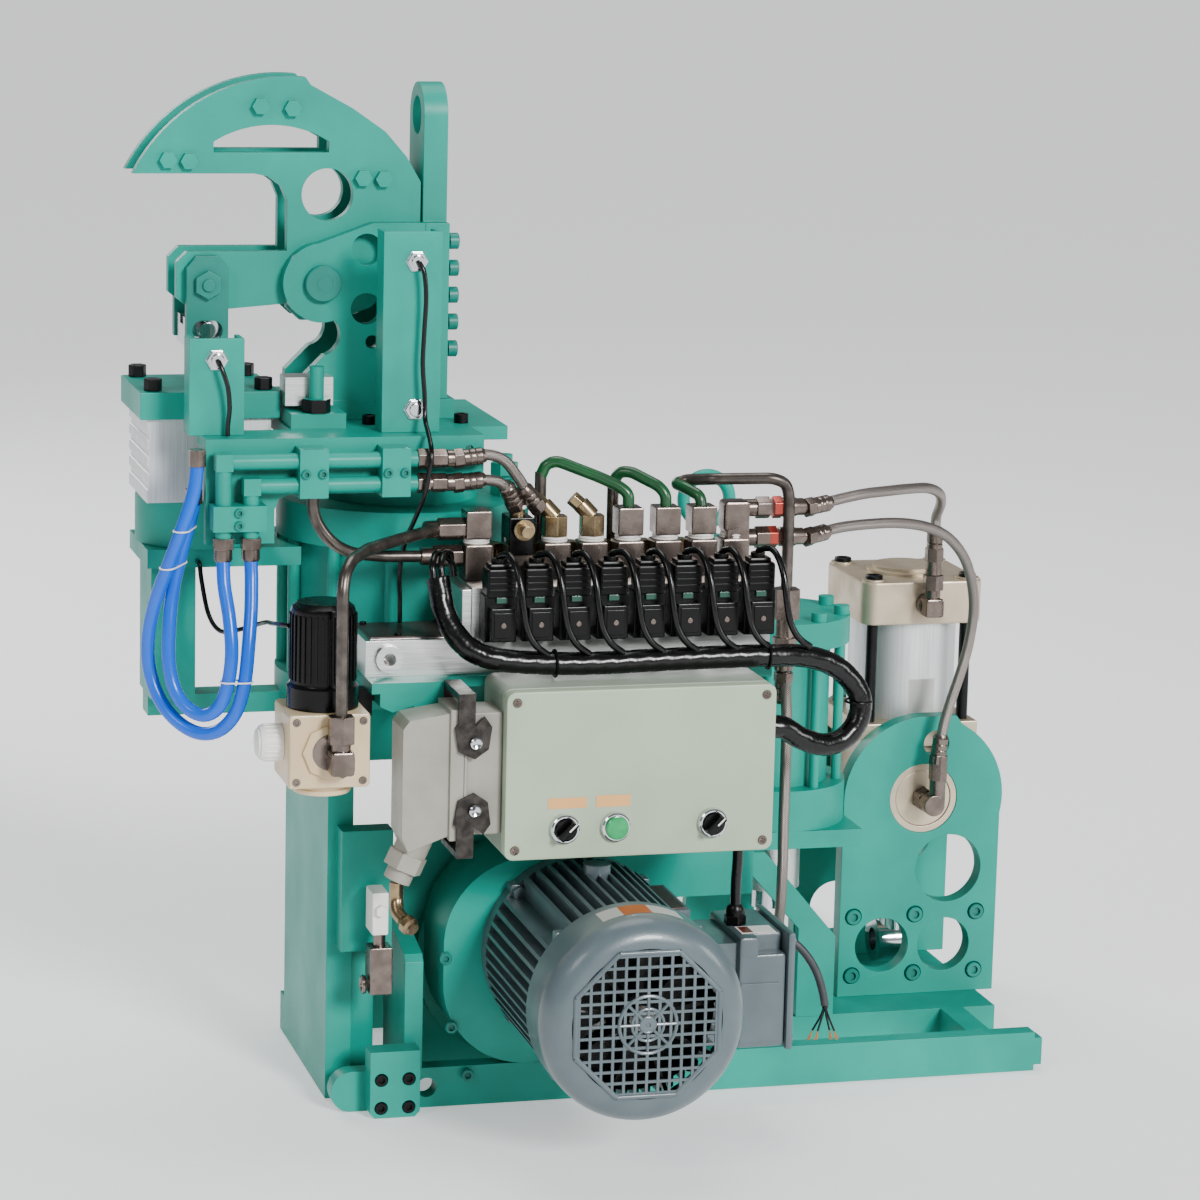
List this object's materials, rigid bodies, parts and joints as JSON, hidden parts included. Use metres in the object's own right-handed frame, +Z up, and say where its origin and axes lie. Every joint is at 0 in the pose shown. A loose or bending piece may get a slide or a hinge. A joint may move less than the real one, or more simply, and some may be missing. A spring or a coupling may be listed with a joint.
{
  "type": "hydraulic power unit",
  "caption": "Electro-hydraulic power and actuation head: motor, gear case, valve manifold, control box, fluid cylinders and a hinged hook jaw on a welded base.",
  "frame": {"origin": "on the floor under the middle of the base, on the underside of the centre rail", "axes": "+X right along the base beam, +Y from the motor's fan end towards the back, +Z up"},
  "size_m": [0.9275, 0.645, 0.98],
  "materials": {
    "teal_paint": "semi-gloss enamel",
    "motor_paint": "semi-gloss enamel over cast ribs",
    "black_oxide": "black oxide",
    "champagne_alloy": "champagne anodised",
    "tube_alloy": "drawn and clear anodised",
    "milled_alloy": "milled",
    "ground_steel": "ground and chromed",
    "winding": "varnished winding",
    "black_plastic": "moulded",
    "gear_steel": "cut steel",
    "box_enamel": "satin enamel",
    "lid_enamel": "satin enamel",
    "green_plastic": "moulded",
    "diecast_grey": "powder coat on die casting",
    "latch_steel": "dark pressed steel",
    "cream_cast": "painted die casting",
    "valve_plastic": "moulded coil",
    "fitting_steel": "plated steel",
    "dark_tube": "plated hard tube",
    "blue_hose": "extruded polyurethane",
    "steel_braid": "woven wire braid",
    "loom_wrap": "spiral wrap",
    "grey_jacket": "extruded jacket"
  },
  "bodies": {
    "root": {"base_frame": "teal_paint", "table_plate": "teal_paint", "trunnion_plates": "teal_paint", "socket_screws": "black_oxide", "motor_housing": "motor_paint", "motor_stator": "winding", "fan_cover": "motor_paint", "terminal_box": "motor_paint", "gear_case": "teal_paint", "control_box_body": "box_enamel", "control_box_lid": "lid_enamel", "connector_hood": "diecast_grey", "filter_body": "cream_cast", "manifold_support": "teal_paint", "manifold_bar": "milled_alloy", "valve_block": "milled_alloy", "solenoid_valves": "valve_plastic", "port_fittings": "fitting_steel", "steel_tubes": "dark_tube", "hose_plate": "teal_paint", "drum_housing": "teal_paint", "cheek_plates": "teal_paint", "pivot_pin": "fitting_steel", "jaw_cylinder": "teal_paint", "sensor_brackets": "teal_paint", "lifting_lug": "teal_paint", "eyebolt": "teal_paint", "stroke_cylinder": "teal_paint", "blue_hose_outer": "blue_hose", "blue_hose_inner": "blue_hose", "head_hose": "steel_braid", "trunnion_hose": "steel_braid", "left_hose_upper": "steel_braid", "left_hose_lower": "steel_braid", "drop_hose": "steel_braid", "valve_loom": "loom_wrap", "motor_supply_cable": "loom_wrap", "motor_tail_cable": "grey_jacket", "sensor_cables": "loom_wrap"},
    "lift_cylinder": {"lift_cylinder_head": "champagne_alloy", "lift_cylinder_tube": "tube_alloy", "lift_cylinder_block": "champagne_alloy"},
    "lift_rod": {"lift_piston_rod": "ground_steel"},
    "rotor": {"motor_rotor": "ground_steel", "cooling_fan": "black_plastic", "drive_pinion": "gear_steel"},
    "output_gear": {"driven_gear": "gear_steel"},
    "left_switch": {"selector_left": "black_plastic"},
    "right_switch": {"selector_right": "black_plastic"},
    "button": {"push_button": "green_plastic"},
    "upper_lever": {"latch_upper": "latch_steel"},
    "lower_lever": {"latch_lower": "latch_steel"},
    "regulator_cap": {"filter_cap": "black_plastic"},
    "regulator_knob": {"filter_side_knob": "cream_cast"},
    "throttle_knob": {"needle_knob": "black_plastic"},
    "drum_ram": {"drum_piston": "ground_steel"},
    "jaw": {"jaw_plates": "teal_paint"},
    "link": {"link_plates": "teal_paint"},
    "jaw_ram": {"jaw_rod": "latch_steel"},
    "stroke_ram": {"stroke_rod": "ground_steel"}
  },
  "joints": [
    {"name": "jaw_pivot", "type": "hinge", "parent": "root", "child": "jaw", "pos_m": [-0.281, 0.136, 0.785], "axis": [0, -1, 0], "range_deg": [0, 14]},
    {"name": "link_swing", "type": "hinge", "parent": "jaw", "child": "link", "pos_m": [-0.391, 0.136, 0.784], "axis": [0, -1, 0], "range_deg": [-14, 0]},
    {"name": "jaw_ram_slide", "type": "slide", "parent": "root", "child": "jaw_ram", "axis": [0, 0, -1], "range_m": [0, 0.0272]},
    {"name": "drum_ram_slide", "type": "slide", "parent": "root", "child": "drum_ram", "axis": [0, 0, -1], "range_m": [0, 0.08]},
    {"name": "stroke_ram_slide", "type": "slide", "parent": "root", "child": "stroke_ram", "axis": [0, 0, -1], "range_m": [0, 0.03]},
    {"name": "lift_trunnion", "type": "hinge", "parent": "root", "child": "lift_cylinder", "pos_m": [0.373, 0.243, 0.236], "axis": [0, 1, 0], "range_deg": [-2, 2]},
    {"name": "lift_ram_slide", "type": "slide", "parent": "lift_cylinder", "child": "lift_rod", "axis": [0, 0, 1], "range_m": [0, 0.06]},
    {"name": "rotor_spin", "type": "hinge", "parent": "root", "child": "rotor", "pos_m": [-0.053, 0, 0.156], "axis": [0, 1, 0], "continuous": true},
    {"name": "output_spin", "type": "hinge", "parent": "root", "child": "output_gear", "pos_m": [-0.1015, 0, 0.128], "axis": [0, 1, 0], "continuous": true},
    {"name": "left_switch_turn", "type": "hinge", "parent": "root", "child": "left_switch", "pos_m": [-0.099, -0.17, 0.3065], "axis": [0, 1, 0], "range_deg": [-90, 0]},
    {"name": "right_switch_turn", "type": "hinge", "parent": "root", "child": "right_switch", "pos_m": [0.044, -0.17, 0.3065], "axis": [0, 1, 0], "range_deg": [-90, 0]},
    {"name": "button_press", "type": "slide", "parent": "root", "child": "button", "axis": [0, 1, 0], "range_m": [0, 0.004], "stiffness_N_per_m": 300},
    {"name": "upper_latch_swing", "type": "hinge", "parent": "root", "child": "upper_lever", "pos_m": [-0.184, -0.133, 0.39], "axis": [0, 1, 0], "range_deg": [0, 35]},
    {"name": "lower_latch_swing", "type": "hinge", "parent": "root", "child": "lower_lever", "pos_m": [-0.184, -0.133, 0.326], "axis": [0, -1, 0], "range_deg": [0, 35]},
    {"name": "regulator_turn", "type": "hinge", "parent": "root", "child": "regulator_cap", "pos_m": [-0.317, -0.112, 0.46], "axis": [0, 0, 1], "range_deg": [-90, 90]},
    {"name": "side_knob_turn", "type": "hinge", "parent": "root", "child": "regulator_knob", "pos_m": [-0.366, -0.112, 0.385], "axis": [1, 0, 0], "range_deg": [-90, 90]},
    {"name": "throttle_turn", "type": "hinge", "parent": "root", "child": "throttle_knob", "pos_m": [-0.112, -0.05, 0.566], "axis": [0, 1, 0], "range_deg": [0, 720]}
  ],
  "couplings": [
    {"joint": "link_swing", "follows": "jaw_pivot", "ratio": -1},
    {"joint": "jaw_ram_slide", "follows": "jaw_pivot", "m_per_rad": 0.11},
    {"joint": "output_spin", "follows": "rotor_spin", "ratio": -0.4}
  ]
}
